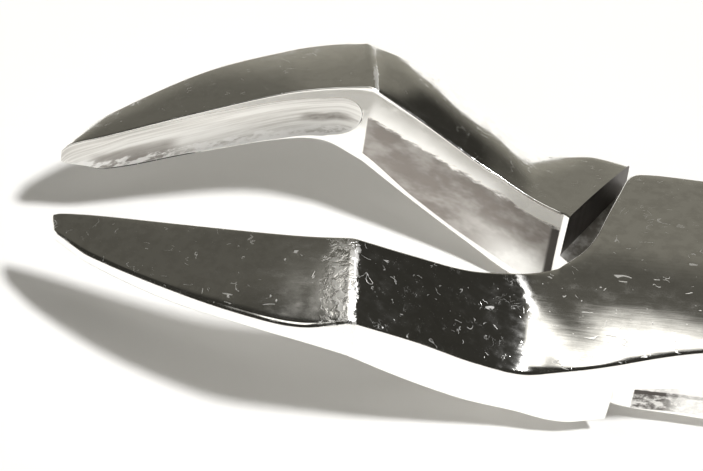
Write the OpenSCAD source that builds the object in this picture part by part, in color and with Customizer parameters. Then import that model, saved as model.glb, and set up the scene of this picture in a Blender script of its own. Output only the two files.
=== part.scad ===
// Dental extraction forceps with a lapped screw joint, laid on one face with the hinge axis upright.
// X runs along the tool, beaks towards -X and handles towards +X. Z is the hinge axis, and the joint
// rests on z = 0. The near half has its beak on the -Y side, the upper lap and the +Y handle.
// The far half has its beak on the +Y side, the lower lap and the -Y handle.
// The beaks are modelled slightly open, as the tool lies at rest.

/* [Joint] */
// Thickness of the joint between its two flat lands
joint_t = 11.4; // [9.4:0.1:13.6]
// Width of the joint at the pivot
joint_w = 16.9; // [14.1:0.1:20.4]
// How far the side of the joint flares out towards beak and handle, per mm of length
side_flare = 0.29; // [0.2:0.01:0.35]
// Length over which the waist of the joint stays narrow
waist_l = 8; // [4:0.5:12]
// Radius of the crowned top and underside across the joint
crown_r = 27; // [22:1:40]
// How much lower the crown is where the joint meets the neck
crown_fall = 0.7; // [0.4:0.1:1.8]
// Height ground off the crown to make the flat land round the pivot
land_cut = 0.1; // [0.05:0.05:0.4]
// Distance of the lap's edge from the pivot, along X
lap_reach = 14.5; // [12:0.1:17.4]
// Lean of the lap's edge from the Y axis, in degrees
lap_lean = 18; // [12:1:22]
// Gap between the lap's edge and the other half's shoulder wall, along X
shoulder_gap = 3.5; // [2.9:0.1:4.2]
// Lean of the shoulder wall from the Y axis, in degrees
wall_lean = 31; // [27:0.5:35]
// Gap between the two lap faces
lap_gap = 0.06; // [0.02:0.01:0.1]

/* [Pivot screw] */
// Diameter of the screw's plain shank
shank_d = 5.4; // [4.4:0.1:6.5]
// Diameter of the screw's threaded end
thread_d = 5; // [4:0.1:6]
// Diameter of the screw's head
head_d = 7.8; // [6.8:0.1:8.2]
// Thickness of the screw's head
head_t = 2.3; // [1.8:0.1:2.7]
// Width of the slot in the head
slot_w = 1.2; // [0.8:0.1:1.6]
// Depth of the slot in the head
slot_depth = 1.1; // [0.6:0.1:1.5]
// Chamfer on the head and at the mouth of its counterbore
chamfer = 0.25; // [0.1:0.05:0.4]
// Radial clearance of the shank in the near half's bore
shank_clearance = 0.05; // [0.02:0.01:0.1]
// Clearance round and under the head
head_clearance = 0.08; // [0.04:0.01:0.15]

/* [Necks] */
// Distance from the shoulder wall to the neck, along X
neck_margin = 2; // [1.7:0.1:3]
// How far the knee's outer edge lies ahead of its inner edge on the far half
far_knee_lean = 0.8; // [-1:0.1:1.5]
// The same on the near half
near_knee_lean = -0.6; // [-1:0.1:1.5]
// Distance from the pivot to the knee, where the neck meets the beak
knee_reach = 33; // [28:0.5:40]
// Gap between the two necks at the joint
root_gap = 8.1; // [6:0.1:10]
// Gap between the two knees
knee_gap = 15.5; // [11:0.1:19]
// Width of the neck at the joint
root_w = 7.4; // [6:0.1:9]
// Width of the neck at the knee
knee_w = 6.6; // [5:0.1:8]
// Height of the neck's inner face at the joint
root_h = 9.3; // [7:0.1:10]
// Height of the neck's inner face at the knee
knee_h = 8.6; // [7:0.1:10.5]
// How far the middle of the knee stands above the middle of the joint
knee_rise = 6.2; // [3:0.1:7.5]

/* [Beaks] */
// Distance from the pivot to the beak tips
tip_reach = 56.3; // [47:0.1:68]
// Gap between the tips
tip_gap = 7; // [5:0.1:9]
// Width of the blunt tip
tip_w = 0.5; // [0.3:0.1:1.5]
// Height of the blunt tip
tip_h = 1.7; // [1:0.1:2.5]
// Height of the beak halfway along
beak_h = 4.8; // [4:0.1:6.5]
// How far the middle of the tip stands above the middle of the joint
tip_rise = 2.4; // [0:0.1:3]
// Depth of the hollow ground along the beak's inner face
hollow_depth = 0.7; // [0.3:0.05:1.2]

/* [Handles] */
// Distance from the pivot to the ends of the handles
handle_reach = 118; // [98:1:142]
// Gap between the handles where they are furthest apart
handle_gap = 27; // [22:0.5:34]
// Gap between the handles near their ends
end_gap = 24; // [20:0.5:32]
// Width of a handle, seen from above
handle_w = 6.8; // [5.5:0.1:8]
// Height of a handle
handle_h = 10.2; // [8:0.1:12]
// Length of the rounded end of a handle
end_l = 3.2; // [2:0.1:5]

/* [Hidden] */
$fn = 64;
steel = [0.78, 0.78, 0.76];
screw_steel = [0.7, 0.7, 0.7];
split_z = joint_t / 2;
wall_reach = lap_reach + shoulder_gap;
// Distance from the pivot to the end of the neck at the joint
root_reach = wall_reach + neck_margin;
// A small length that carries a cut clear of the face it starts from
over = 0.5;
// Squareness of the handle's section: 2 is an ellipse, and a large value is a rectangle
handle_square = 3;
// Points along one face of a section, and sections along each stretch
face_steps = 6;
beak_steps = 16;
neck_steps = 8;
joint_steps = 20;
handle_steps = 20;
end_steps = 4;
// How strongly the beak's sections crowd towards the tip: 1 is an even spacing
tip_crowding = 1.6;
// Angle at which the closing end of a handle stops, short of a point
end_turn = 78;
// Length left between the sections of the joint and its ends on the neck and the handle
joint_margin = 0.6;
// Convex rise of the arm's top and underside, and of its outer side
arm_crown = 0.2;
side_bulge = 0.2;

// A section of a half is a list of numbers, and the half follows a curve through a few of them:
// x and y of its inner edge, x and y of its outer edge, top at inner and outer edge, underside at
// inner and outer edge, roundness, share of the joint's crown, twist of the inner edge, hollow.
IX = 0;
IY = 1;
OX = 2;
OY = 3;
TI = 4;
TO = 5;
BI = 6;
BO = 7;
ROUND = 8;
CROWN = 9;
TWIST = 10;
HOLLOW = 11;

function mix(a, b, t) = a + (b - a) * t;
// Half-width of the joint's side at a distance x from the pivot
function side_y(x) = joint_w / 2 + side_flare * (sqrt(x * x + waist_l * waist_l) - waist_l);
// Height of the joint's crown above the middle of the joint
function crown_z(x, y) =
    split_z + land_cut - crown_fall * pow(x / lap_reach, 2) - y * y / (2 * crown_r);
// X of the lap's edge and of the shoulder wall at a given y, on the beak side of the near half
function lap_x(y) = -lap_reach + y * tan(lap_lean);
function wall_x(y) = -wall_reach - y * tan(wall_lean);

// Beak sections, as shares from the knee at 0 to the tip at 1: place along the beak, share of the
// knee's gap, share of the knee's width, height, share of the knee's rise, fall of the crown to
// the outer edge, and height of the outer side, both as shares of the height.
// The hollow runs out over a share of the beak's length at either end.
knee_land = 0.12;
tip_land = 0.17;
beak_shape = [
    [0,    1,    1,    knee_h,        1,    0.22, 0.47],
    [0.14, 0.97, 1.05, beak_h * 1.27, 1.16, 0.35, 0.34],
    [0.29, 0.86, 1,    beak_h * 1.13, 1.03, 0.35, 0.29],
    [0.57, 0.52, 0.82, beak_h,        0.58, 0.22, 0.34],
    [0.85, 0.15, 0.49, beak_h * 0.85, 0.11, 0.18, 0.29],
    [0.96, 0.04, 0.2,  mix(beak_h * 0.85, tip_h, 0.7), 0.08, 0.23, 0.37],
    [1,    0,    0,    tip_h,         0,    0.25, 0.5]];
function beak_knot(b) =
    let (x = -mix(knee_reach, tip_reach, b[0]),
         y = -mix(tip_gap, knee_gap, b[1]) / 2,
         w = mix(tip_w, knee_w, b[2]),
         mid = split_z + mix(tip_rise, knee_rise, b[4]),
         top = mid + b[3] / 2,
         outer_top = top - b[3] * b[5])
    [x, y, x, y - w, top, outer_top, top - b[3], outer_top - b[3] * b[6], 0, 0, 0,
        hollow_depth * min(1, b[0] / knee_land, (1 - b[0]) / tip_land)];
beak_knots = [for (i = [len(beak_shape) - 1:-1:0]) beak_knot(beak_shape[i])];

// Neck sections, as shares from the knee at 0 to the joint at 1: place, share of the joint's gap,
// share of the joint's width, share of the joint's height, share of the knee's rise, fall of the
// crown and height of the outer side as shares of the height, and twist of the inner edge.
// The outer edge lies this much further towards the handles at the joint end.
root_lean = 1.2;
neck_shape = [
    [0,    0,    0,    0,    1,     0.22, 0.47, 0],
    [0.35, 0.28, 0.21, 0.82, 0.59,  0.2,  0.52, 0],
    [0.7,  0.61, 0.25, 0.95, 0.21,  0.27, 0.51, 0.1],
    [1,    1,    1,    1,    -0.01, 0.3,  0.51, 0.3]];
function neck_knot(n) =
    let (x = -mix(knee_reach, root_reach, n[0]),
         y = -mix(knee_gap, root_gap, n[1]) / 2,
         w = mix(knee_w, root_w, n[2]),
         h = mix(knee_h, root_h, n[3]),
         top = split_z + knee_rise * n[4] + h / 2,
         outer_top = top - h * n[5])
    [x, y, x + n[0] * root_lean, y - w, top, outer_top, top - h, outer_top - h * n[6], 0, 0, n[7], 0];

// Joint sections, from the neck to the pivot. The inner edge turns up the lap's edge to the far side.
// The second row lies on the shoulder wall, and the last rows round the lap's outer corner.
// Each row has x and y of the inner edge, x of the outer edge, share of the crown and twist.
wall_inner_y = -root_gap * 0.3;
wall_outer_y = -side_y(lap_reach * 0.82);
half_w = joint_w / 2;
// Roundings of the lap, in the crotch by the shoulder wall and at its outer corner
crotch_round = 1;
lap_corner = 0.7;
lap_rows = [
    [-mix(root_reach, lap_reach, 0.5), -root_gap * 0.36, -mix(root_reach, lap_reach, 0.94), 0.3, 0.4],
    [wall_x(wall_inner_y), wall_inner_y, wall_x(wall_outer_y), 0.53, 0.4],
    [lap_x(-crotch_round) - crotch_round * 0.35, -crotch_round, -lap_reach * 0.71, 0.71, 0.2],
    [lap_x(crotch_round * 0.7), crotch_round * 0.7, -lap_reach * 0.63, 0.82, 0],
    [lap_x(half_w * 0.34), half_w * 0.34, -lap_reach * 0.54, 0.91, 0],
    [lap_x(half_w * 0.64), half_w * 0.64, -lap_reach * 0.43, 0.97, 0],
    [lap_x(half_w - lap_corner), half_w - lap_corner, -lap_reach * 0.32, 0.99, 0],
    [lap_x(half_w) + lap_corner * 1.3, half_w + lap_corner * 0.1, -lap_reach * 0.22, 1, 0],
    [-lap_reach * 0.42, half_w, -lap_reach * 0.11, 1, 0],
    [0, half_w, 0, 1, 0]];
// Heights of the joint's edges at the neck, before the crown takes over
root_inner_top = split_z + root_h * 0.44;
root_outer_top = split_z + root_h * 0.27;
root_base = split_z - root_h * 0.48;
function lap_knot(r) =
    [r[0], r[1], r[2], -side_y(r[2]), root_inner_top, root_outer_top, root_base, root_base,
        0, r[3], r[4], 0];

// The handle side of the joint is its beak side turned half round about the pivot
function turned(q) =
    [-q[OX], -q[OY], -q[IX], -q[IY], q[TO], q[TI], q[BO], q[BI], q[ROUND], q[CROWN], -q[TWIST], 0];

// Handle sections, from the joint to the end: place, share of the widest gap, share of the full
// width, share of the full height, height of the underside and roundness.
handle_rows = [
    [root_reach + 1.5, 0.32, 1.1,  0.88, 0.8, 0.25],
    [root_reach + 8,   0.53, 1.04, 0.91, 0.6, 0.8],
    [root_reach + 18,  0.74, 1,    0.95, 0.3, 1],
    [mix(root_reach, handle_reach, 0.34), 0.92, 0.97, 0.98, 0.1, 1],
    [mix(root_reach, handle_reach, 0.5),  1,    0.98, 1,    0, 1],
    [mix(root_reach, handle_reach, 0.66), 0.99, 1,    1,    0, 1],
    [mix(root_reach, handle_reach, 0.84), end_gap / handle_gap * 0.98, 1.03, 1, 0, 1],
    [handle_reach - end_l, end_gap / handle_gap * 1.02, 1.04, 0.99, 0, 1]];
function handle_knot(r) =
    let (inner = handle_gap / 2 * r[1], outer = inner + handle_w * r[2], top = r[4] + handle_h * r[3])
    [r[0], outer, r[0], inner, top, top, r[4], r[4], r[5], 0, 0, 0];

body_knots = concat(
    [for (n = neck_shape) neck_knot(n)],
    [for (r = lap_rows) lap_knot(r)],
    [for (i = [len(lap_rows) - 2:-1:0]) turned(lap_knot(lap_rows[i]))],
    [for (r = handle_rows) handle_knot(r)]);

// The curve through the sections, followed by their mean distance along X
function place(q) = (q[IX] + q[OX]) / 2;
function slope(k, i) =
    let (a = max(i - 1, 0), b = min(i + 1, len(k) - 1)) (k[b] - k[a]) / (place(k[b]) - place(k[a]));
function span_of(k, s, i = 0) = i >= len(k) - 2 || place(k[i + 1]) > s ? i : span_of(k, s, i + 1);
function section(k, s) =
    let (i = span_of(k, s), d = place(k[i + 1]) - place(k[i]), t = (s - place(k[i])) / d,
         t2 = t * t, t3 = t2 * t)
    k[i] * (2 * t3 - 3 * t2 + 1) + slope(k, i) * (d * (t3 - 2 * t2 + t))
        + k[i + 1] * (3 * t2 - 2 * t3) + slope(k, i + 1) * (d * (t3 - t2));

// A handle's end closes in on its middle like a quarter of an ellipse
function closed_end(q, a) =
    let (k = cos(a), m = (q[IY] + q[OY]) / 2, zm = (q[TI] + q[BI]) / 2, x = q[IX] + end_l * sin(a))
    [x, mix(m, q[IY], k), x, mix(m, q[OY], k), mix(zm, q[TI], k), mix(zm, q[TO], k),
        mix(zm, q[BI], k), mix(zm, q[BO], k), 1, 0, 0, 0];

// Steps crowd towards the tip, where the outline turns fastest
beak_places = [for (i = [0:beak_steps])
    -mix(tip_reach, knee_reach, pow(i / beak_steps, tip_crowding))];
neck_end = -root_reach + joint_margin;
handle_start = root_reach - joint_margin;
body_places = concat(
    [for (i = [1:neck_steps]) mix(-knee_reach, neck_end, i / neck_steps)],
    [for (i = [1:joint_steps]) mix(neck_end, handle_start, i / joint_steps)],
    [for (i = [1:handle_steps]) mix(handle_start, handle_reach - end_l, i / handle_steps)]);
end_section = body_knots[len(body_knots) - 1];
sections = concat(
    [for (s = beak_places) section(beak_knots, s)],
    [for (s = body_places) section(body_knots, s)],
    [for (i = [1:end_steps]) closed_end(end_section, end_turn * i / end_steps)]);

// Places round a section, on a square from -1 to 1: u runs from inner to outer edge, v upwards
square = concat(
    [for (i = [0:face_steps - 1]) [-1 + 2 * i / face_steps, 1]],
    [for (i = [0:face_steps - 1]) [1, 1 - 2 * i / face_steps]],
    [for (i = [0:face_steps - 1]) [1 - 2 * i / face_steps, -1]],
    [for (i = [0:face_steps - 1]) [-1, -1 + 2 * i / face_steps]]);

// Share of the knee's lean that the outer edge takes at x
function lean_share(x) =
    x < -knee_reach ? pow(max(0, x + tip_reach) / (tip_reach - knee_reach), 3)
        : pow(max(0, -x - root_reach) / (knee_reach - root_reach), 2);

// Point of a section q at u, v on that square, for the half with the given lap. Where the section
// is round the square is drawn in towards a superellipse, and elsewhere the faces stay crowned.
function section_point(q, u, v, lap) =
    let (f = (u + 1) / 2,
         lean = lean_share(place(q)) * (lap > 0 ? near_knee_lean : far_knee_lean),
         r = pow(pow(abs(u), handle_square) + pow(abs(v), handle_square), -1 / handle_square),
         k = mix(1, r, q[ROUND]),
         twist = q[TWIST] * (v * lap) / 2 * (1 - f),
         inner = [q[IX], q[IY] + twist],
         outer = [q[OX] - lean, q[OY]],
         width = outer - inner,
         out = width / norm(width),
         bulge = u == 1 ? side_bulge * (1 - v * v) : u == -1 ? q[HOLLOW] * (1 - v * v) : 0,
         plan = (inner + outer) / 2 + width / 2 * u * k + out * bulge * (1 - q[ROUND]),
         rise = arm_crown * (1 - u * u) * (1 - q[ROUND]) * min(1, norm(width) / knee_w),
         arm_top = mix(q[TI], q[TO], f) + rise,
         arm_base = mix(q[BI], q[BO], f) - rise,
         crown = crown_z(plan[0], plan[1]),
         top = mix(arm_top, split_z + crown, q[CROWN]),
         base = mix(arm_base, split_z - crown, q[CROWN]),
         mid = (top + base) / 2)
    [plan[0], plan[1], mid + (top - base) / 2 * v * k];

// Middle of a ring of points
function middle(ring) = [for (i = [0:2]) let (c = [for (p = ring) p[i]]) (min(c) + max(c)) / 2];

// The forging of one half before its lap is cut. lap is 1 for the upper lap and -1 for the lower.
module forging(lap) {
    count = len(square);
    last = len(sections) - 1;
    rings = [for (q = sections) [for (p = square)
        let (c = section_point(q, p[0], p[1], lap)) [c[0], lap * c[1], c[2]]]];
    points = concat([for (r = rings) each r], [middle(rings[0]), middle(rings[last])]);
    walls = [for (i = [0:last - 1], j = [0:count - 1])
        let (a = i * count + j, b = i * count + (j + 1) % count, c = b + count, d = a + count)
        each [[a, b, c], [a, c, d]]];
    tip = (last + 1) * count;
    caps = [for (j = [0:count - 1])
        let (b = (j + 1) % count)
        each [[tip, b, j], [tip + 1, last * count + j, last * count + b]]];
    faces = concat(walls, caps);
    polyhedron(points, lap < 0 ? faces : [for (f = faces) [f[2], f[1], f[0]]]);
}

// The room that the other half's lap takes: between the two shoulder walls, on one side of the split
module lap_room(lap) {
    reach = joint_w;
    room = [[wall_x(-reach), -reach], [-wall_x(reach), -reach], [-wall_x(-reach), reach],
        [wall_x(reach), reach]];
    mirror([0, lap > 0 ? 0 : 1, 0])
        translate([0, 0, lap > 0 ? split_z + lap_gap / 2 - joint_t : split_z - lap_gap / 2])
            linear_extrude(joint_t)
                polygon(room);
}

// What grinding the lands flat takes off, above the joint and below the whole tool
module ground_off() {
    land_l = lap_reach * 1.6;
    translate([-land_l / 2, -joint_w, joint_t])
        cube([land_l, 2 * joint_w, joint_t]);
    translate([-tip_reach - over, -joint_w * 2, -joint_t])
        cube([tip_reach + handle_reach + 2 * over, joint_w * 4, joint_t]);
}

// Half with the upper lap, bored for the shank and counterbored for the head of the screw
module near_half() {
    color(steel)
        difference() {
            forging(1);
            lap_room(1);
            ground_off();
            translate([0, 0, -over])
                cylinder(d = shank_d + 2 * shank_clearance, h = joint_t + 2 * over);
            translate([0, 0, joint_t - head_t - head_clearance])
                cylinder(d = head_d + 2 * head_clearance, h = head_t + head_clearance + over);
            translate([0, 0, joint_t - chamfer])
                cylinder(d1 = head_d, d2 = head_d + 2 * (2 * chamfer + over), h = 2 * chamfer + over);
        }
}

// Half with the lower lap, threaded for the screw
module far_half() {
    color(steel)
        difference() {
            forging(-1);
            lap_room(-1);
            ground_off();
            translate([0, 0, -over])
                cylinder(d = thread_d, h = joint_t + 2 * over);
        }
}

// Slotted screw: its head sits in the near half, and its thread holds in the far half, where its
// end is ground flush with the lower land
module pivot_screw() {
    shank_base = split_z - lap_gap / 2;
    color(screw_steel)
        difference() {
            rotate_extrude()
                polygon([[0, 0], [thread_d / 2, 0], [thread_d / 2, shank_base],
                    [shank_d / 2, shank_base], [shank_d / 2, joint_t - head_t],
                    [head_d / 2, joint_t - head_t], [head_d / 2, joint_t - chamfer],
                    [head_d / 2 - chamfer, joint_t], [0, joint_t]]);
            translate([-head_d, -slot_w / 2, joint_t - slot_depth])
                cube([2 * head_d, slot_w, slot_depth + over]);
        }
}

far_half();
near_half();
pivot_screw();
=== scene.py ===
"""Dental extraction forceps: the looks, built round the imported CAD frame."""
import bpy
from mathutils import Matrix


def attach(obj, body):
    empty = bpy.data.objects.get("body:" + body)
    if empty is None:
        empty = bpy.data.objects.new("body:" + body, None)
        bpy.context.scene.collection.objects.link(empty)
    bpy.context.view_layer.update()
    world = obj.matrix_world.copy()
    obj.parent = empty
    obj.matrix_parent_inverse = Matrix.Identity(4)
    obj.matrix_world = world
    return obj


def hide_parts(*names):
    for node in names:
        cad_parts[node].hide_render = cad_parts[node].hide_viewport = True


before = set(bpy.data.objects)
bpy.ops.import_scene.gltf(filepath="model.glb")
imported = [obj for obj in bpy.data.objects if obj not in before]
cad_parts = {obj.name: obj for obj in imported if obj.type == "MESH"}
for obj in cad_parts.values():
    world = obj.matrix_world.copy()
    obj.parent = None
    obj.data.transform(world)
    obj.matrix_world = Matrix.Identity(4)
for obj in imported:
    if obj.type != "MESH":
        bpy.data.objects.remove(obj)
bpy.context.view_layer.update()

from types import SimpleNamespace

import bmesh
import bpy
import numpy as np
from mathutils import Matrix, Vector

bl_info = {
    "name": "Dental forceps",
    "version": (1, 0, 0),
    "blender": (4, 5, 0),
    "location": "3D View > Sidebar > Forceps",
    "description": "Builds a pair of dental extraction forceps and a small photo table",
    "category": "Add Mesh",
}

MM = 0.001

# Sizes of the CAD part, in millimetres and degrees
JOINT_T, JOINT_W, SIDE_FLARE, WAIST_L = 11.4, 16.9, 0.29, 8.0
CROWN_R, CROWN_FALL, LAND_CUT, CROTCH_ROUND, LAP_CORNER = 27.0, 0.7, 0.1, 1.0, 0.7
LAP_REACH, LAP_LEAN, WALL_REACH, WALL_LEAN, LAP_GAP = 14.5, 18.0, 18.0, 31.0, 0.06
SHANK_D, THREAD_D, HEAD_D, HEAD_T = 5.4, 5.0, 7.8, 2.3
SLOT_W, SLOT_DEPTH, CHAMFER = 1.2, 1.1, 0.25
SHANK_CLEARANCE, HEAD_CLEARANCE = 0.05, 0.08
ROOT_REACH, KNEE_REACH, ROOT_GAP, KNEE_GAP = 20.0, 33.0, 8.1, 15.5
ROOT_W, KNEE_W, ROOT_H, KNEE_H, KNEE_RISE, ROOT_LEAN = 7.4, 6.6, 9.3, 8.6, 6.2, 1.2
TIP_REACH, TIP_GAP, TIP_W, TIP_H, BEAK_H, TIP_RISE = 56.3, 7.0, 0.5, 1.7, 4.8, 2.4
HANDLE_REACH, HANDLE_GAP, END_GAP = 118.0, 27.0, 24.0
HANDLE_W, HANDLE_H, END_L, END_TURN = 6.8, 10.2, 3.2, 78.0
KNEE_LEAN = {1: -0.6, -1: 0.8}
HANDLE_SQUARE, ARM_CROWN, SIDE_BULGE = 3.0, 0.2, 0.2
SPLIT_Z = JOINT_T / 2
HALF_W = JOINT_W / 2

# The tips are rubbed round over this length, down to these shares of width and height at their ends
TIP_ROUND, TIP_END_W, TIP_END_H = 0.7, 0.45, 0.6
# The far neck's top is this much more crowned and level than the near one's. Places where that starts, is
# full, fades and ends
FAR_NECK_CROWN, CROWNED = 0.3, (-33, -29, -22.5, -16.5)
FAR_NECK_LEVEL, LEVELLED = 0.6, (-33.5, -30, -24, -18)

# Columns of a section: x and y of its inner and outer edge, heights of its top and base at each of the
# two, and shares of roundness, of the joint's crown and of the inner edge's twist
IX, IY, OX, OY, TI, TO, BI, BO, ROUND, CROWN, TWIST = range(11)
HEIGHTS = [TI, TO, BI, BO]


def mix(a, b, t):
    return a + (b - a) * t


def smooth(a, b, x):
    """0 below a, 1 above b, and an even turn between."""
    t = np.clip((x - a) / (b - a), 0, 1)
    return t * t * (3 - 2 * t)


def hump(x, start, full, fade, end):
    """0 up to the start, 1 from full to fade, and 0 again from the end."""
    return smooth(start, full, x) - smooth(fade, end, x)


def side_y(x):
    """Half-width of the joint's side at a distance x from the pivot."""
    return JOINT_W / 2 + SIDE_FLARE * (np.sqrt(x * x + WAIST_L ** 2) - WAIST_L)


def crown_z(x, y):
    """Height of the joint's crown above its middle."""
    return SPLIT_Z + LAND_CUT - CROWN_FALL * (x / LAP_REACH) ** 2 - y * y / (2 * CROWN_R)


def lap_x(y):
    """Place of the lap's slanted front at y."""
    return -LAP_REACH + y * np.tan(np.radians(LAP_LEAN))


def wall_x(y):
    """Place of the shoulder wall at y."""
    return -WALL_REACH - y * np.tan(np.radians(WALL_LEAN))


# Beak: place, shares of gap and width, height, share of the rise, crown fall, side height. The last three
# rows are slimmer than in the CAD part, after the tips in the photo
BEAK_SHAPE = [
    (0, 1, 1, KNEE_H, 1, 0.22, 0.47),
    (0.14, 0.97, 1.05, BEAK_H * 1.27, 1.16, 0.35, 0.34),
    (0.29, 0.86, 1, BEAK_H * 1.13, 1.03, 0.35, 0.29),
    (0.57, 0.52, 0.82, BEAK_H, 0.58, 0.22, 0.34),
    (0.85, 0.15, 0.46, BEAK_H * 0.85, 0.11, 0.18, 0.29),
    (0.96, 0.04, 0.18, mix(BEAK_H * 0.85, TIP_H, 0.65), 0.07, 0.22, 0.37),
    (1, 0, 0.06, TIP_H, 0, 0.25, 0.5)]
# Neck: place, shares of gap, width, height and rise, crown fall, side height, twist
NECK_SHAPE = [
    (0, 0, 0, 0, 1, 0.22, 0.47, 0),
    (0.35, 0.28, 0.21, 0.82, 0.59, 0.2, 0.52, 0),
    (0.7, 0.61, 0.25, 0.95, 0.21, 0.27, 0.51, 0.1),
    (1, 1, 1, 1, -0.01, 0.3, 0.51, 0.3)]
# Joint: x and y of the inner edge, x of the outer edge, share of the crown, twist
WALL_INNER_Y = -ROOT_GAP * 0.3
WALL_OUTER_Y = -side_y(LAP_REACH * 0.82)
LAP_ROWS = [
    (-mix(ROOT_REACH, LAP_REACH, 0.5), -ROOT_GAP * 0.36, -mix(ROOT_REACH, LAP_REACH, 0.94), 0.3, 0.4),
    (wall_x(WALL_INNER_Y), WALL_INNER_Y, wall_x(WALL_OUTER_Y), 0.53, 0.4),
    (lap_x(-CROTCH_ROUND) - CROTCH_ROUND * 0.35, -CROTCH_ROUND, -LAP_REACH * 0.71, 0.71, 0.2),
    (lap_x(CROTCH_ROUND * 0.7), CROTCH_ROUND * 0.7, -LAP_REACH * 0.63, 0.82, 0),
    (lap_x(HALF_W * 0.34), HALF_W * 0.34, -LAP_REACH * 0.54, 0.91, 0),
    (lap_x(HALF_W * 0.64), HALF_W * 0.64, -LAP_REACH * 0.43, 0.97, 0),
    (lap_x(HALF_W - LAP_CORNER), HALF_W - LAP_CORNER, -LAP_REACH * 0.32, 0.99, 0),
    (lap_x(HALF_W) + LAP_CORNER * 1.3, HALF_W + LAP_CORNER * 0.1, -LAP_REACH * 0.22, 1, 0),
    (-LAP_REACH * 0.42, HALF_W, -LAP_REACH * 0.11, 1, 0),
    (0, HALF_W, 0, 1, 0)]
# Handle: place, shares of gap, width and height, height of the underside, roundness
HANDLE_ROWS = [
    (ROOT_REACH + 1.5, 0.32, 1.1, 0.88, 0.8, 0.25),
    (ROOT_REACH + 8, 0.53, 1.04, 0.91, 0.6, 0.8),
    (ROOT_REACH + 18, 0.74, 1, 0.95, 0.3, 1),
    (mix(ROOT_REACH, HANDLE_REACH, 0.34), 0.92, 0.97, 0.98, 0.1, 1),
    (mix(ROOT_REACH, HANDLE_REACH, 0.5), 1, 0.98, 1, 0, 1),
    (mix(ROOT_REACH, HANDLE_REACH, 0.66), 0.99, 1, 1, 0, 1),
    (mix(ROOT_REACH, HANDLE_REACH, 0.84), END_GAP / HANDLE_GAP * 0.98, 1.03, 1, 0, 1),
    (HANDLE_REACH - END_L, END_GAP / HANDLE_GAP * 1.02, 1.04, 0.99, 0, 1)]


def beak_knot(b):
    x, y = -mix(KNEE_REACH, TIP_REACH, b[0]), -mix(TIP_GAP, KNEE_GAP, b[1]) / 2
    w, mid = mix(TIP_W, KNEE_W, b[2]), SPLIT_Z + mix(TIP_RISE, KNEE_RISE, b[4])
    top = mid + b[3] / 2
    outer_top = top - b[3] * b[5]
    return x, y, x, y - w, top, outer_top, top - b[3], outer_top - b[3] * b[6], 0, 0, 0


def neck_knot(n):
    x, y = -mix(KNEE_REACH, ROOT_REACH, n[0]), -mix(KNEE_GAP, ROOT_GAP, n[1]) / 2
    w, h = mix(KNEE_W, ROOT_W, n[2]), mix(KNEE_H, ROOT_H, n[3])
    top = SPLIT_Z + KNEE_RISE * n[4] + h / 2
    outer_top = top - h * n[5]
    return x, y, x + n[0] * ROOT_LEAN, y - w, top, outer_top, top - h, outer_top - h * n[6], 0, 0, n[7]


def lap_knot(r):
    base = SPLIT_Z - ROOT_H * 0.48
    return (r[0], r[1], r[2], -side_y(r[2]), SPLIT_Z + ROOT_H * 0.44, SPLIT_Z + ROOT_H * 0.27, base, base,
            0, r[3], r[4])


def turned(q):
    """The handle side of the joint is its beak side turned half round about the pivot."""
    return -q[OX], -q[OY], -q[IX], -q[IY], q[TO], q[TI], q[BO], q[BI], q[ROUND], q[CROWN], -q[TWIST]


def handle_knot(r):
    inner = HANDLE_GAP / 2 * r[1]
    top = r[4] + HANDLE_H * r[3]
    return r[0], inner + HANDLE_W * r[2], r[0], inner, top, top, r[4], r[4], r[5], 0, 0


LAPS = [lap_knot(r) for r in LAP_ROWS]
BEAK_KNOTS = np.array([beak_knot(b) for b in BEAK_SHAPE[::-1]])
BODY_KNOTS = np.array([neck_knot(n) for n in NECK_SHAPE] + LAPS + [turned(q) for q in LAPS[-2::-1]]
                      + [handle_knot(r) for r in HANDLE_ROWS])


def sections(knots, places):
    """Sections of a half at these places, on a smooth curve through the knots."""
    at = (knots[:, IX] + knots[:, OX]) / 2
    n = len(knots)
    lo, hi = np.maximum(np.arange(n) - 1, 0), np.minimum(np.arange(n) + 1, n - 1)
    slope = (knots[hi] - knots[lo]) / (at[hi] - at[lo])[:, None]
    i = np.clip(np.searchsorted(at, places, side="right") - 1, 0, n - 2)
    d = (at[i + 1] - at[i])[:, None]
    t = (places - at[i])[:, None] / d
    return (knots[i] * (2 * t ** 3 - 3 * t ** 2 + 1) + slope[i] * d * (t ** 3 - 2 * t ** 2 + t)
            + knots[i + 1] * (3 * t ** 2 - 2 * t ** 3) + slope[i + 1] * d * (t ** 3 - t ** 2))


def lean_share(x):
    """Share of the knee's lean that the outer edge takes at x."""
    beak = (np.maximum(0, x + TIP_REACH) / (TIP_REACH - KNEE_REACH)) ** 3
    neck = (np.maximum(0, -x - ROOT_REACH) / (KNEE_REACH - ROOT_REACH)) ** 2
    return np.where(x < -KNEE_REACH, beak, neck)


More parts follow.
